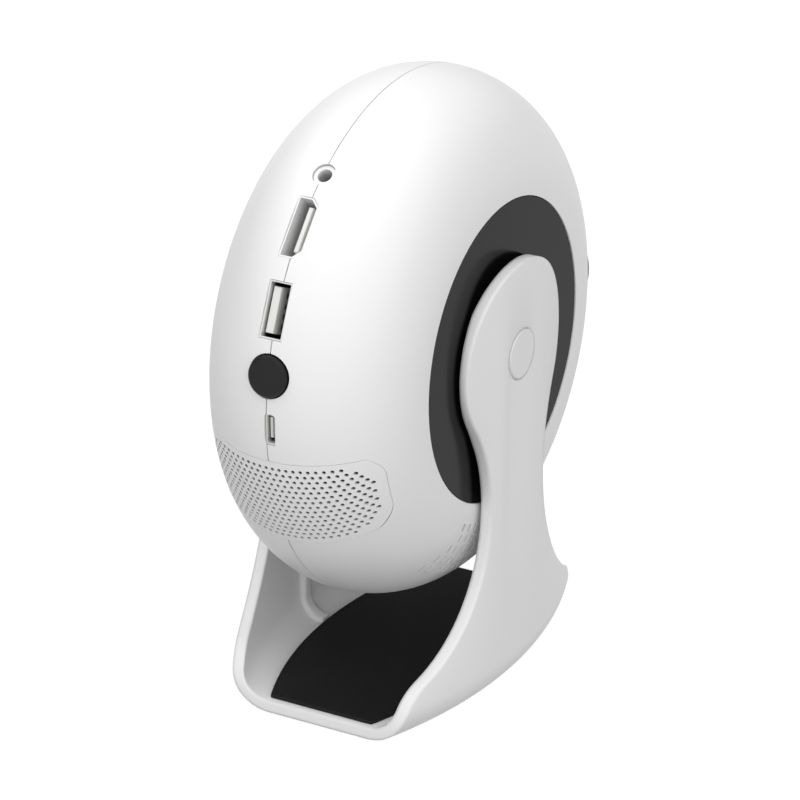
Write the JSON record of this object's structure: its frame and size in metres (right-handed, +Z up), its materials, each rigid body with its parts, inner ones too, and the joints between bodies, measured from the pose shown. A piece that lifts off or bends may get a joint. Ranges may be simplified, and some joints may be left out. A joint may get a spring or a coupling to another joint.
{
  "type": "video projector",
  "caption": "Table-top video projector: a round-edged disc body tilts between the arms of a one-piece stand, with a focus lens in front and sockets, button and grille behind.",
  "frame": {"origin": "middle of the base, on the table, under the tilt pivot", "axes": "+Z up, -Y to the lens, +Y to the sockets, X along the tilt pivot"},
  "size_m": [0.0646, 0.1329, 0.1541],
  "materials": {
    "white_plastic": "satin, finely textured",
    "charcoal_plastic": "satin",
    "black_plastic": "satin",
    "black_metal": "matt black",
    "rubber": "matt",
    "steel": "plated",
    "aluminium": "extruded",
    "circuit_board": "solder mask",
    "lens_glass": "polished",
    "panel_glass": "dark",
    "mirror": "front surface"
  },
  "bodies": {
    "stand": {"stand": "white_plastic", "stand_mat": "rubber", "rubber_feet": "rubber", "pivot_caps": "white_plastic"},
    "projector": {"right_shell": "white_plastic", "left_shell": "white_plastic", "speaker_grille": "white_plastic", "right_disc": "charcoal_plastic", "left_disc": "charcoal_plastic", "lens_bezel": "charcoal_plastic", "audio_jack": "black_plastic", "power_switch": "black_plastic", "engine_housing": "black_plastic", "engine_cover": "black_plastic", "fan_frame": "black_plastic", "speaker_frame": "black_plastic", "speaker_cone": "black_plastic", "friction_washers": "black_plastic", "speaker_magnet": "black_metal", "speaker_gasket": "rubber", "pivot_studs": "steel", "pivot_screws": "steel", "spring_washers": "steel", "shell_screws": "steel", "board_screws": "steel", "video_socket": "steel", "data_socket": "steel", "power_inlet": "steel", "heat_sink": "aluminium", "main_board": "circuit_board", "led_board": "circuit_board", "condenser_lens": "lens_glass", "collimating_lens": "lens_glass", "field_lens": "lens_glass", "lcd_panel": "panel_glass", "fold_mirror": "mirror"},
    "focus_ring": {"focus_ring": "charcoal_plastic"},
    "lens": {"lens_barrel": "black_metal", "front_lens": "lens_glass", "rear_lens": "lens_glass", "lens_retainer": "black_metal"},
    "power_button": {"power_button": "black_plastic"},
    "fan_impeller": {"fan_impeller": "black_plastic"}
  },
  "joints": [
    {"name": "tilt", "type": "hinge", "parent": "stand", "child": "projector", "pos_m": [0, 0, 0.0891], "axis": [-1, 0, 0], "range_deg": [-85, 95]},
    {"name": "focus_turn", "type": "hinge", "parent": "projector", "child": "focus_ring", "pos_m": [0, 0, 0.0891], "axis": [0, -0.9962, -0.0872], "range_deg": [-60, 60]},
    {"name": "focus_slide", "type": "slide", "parent": "projector", "child": "lens", "axis": [0, -0.9962, -0.0872], "range_m": [-0.0015, 0.0015]},
    {"name": "power_press", "type": "slide", "parent": "projector", "child": "power_button", "axis": [0, -0.9833, -0.1822], "range_m": [0, 0.0005], "stiffness_N_per_m": 800, "springref_m": -0.0005},
    {"name": "fan_spin", "type": "hinge", "parent": "projector", "child": "fan_impeller", "pos_m": [0, -0.01548, 0.04807], "axis": [0, 0.9962, 0.0872], "continuous": true}
  ],
  "couplings": [
    {"joint": "focus_turn", "follows": "focus_slide", "rad_per_m": 698}
  ]
}
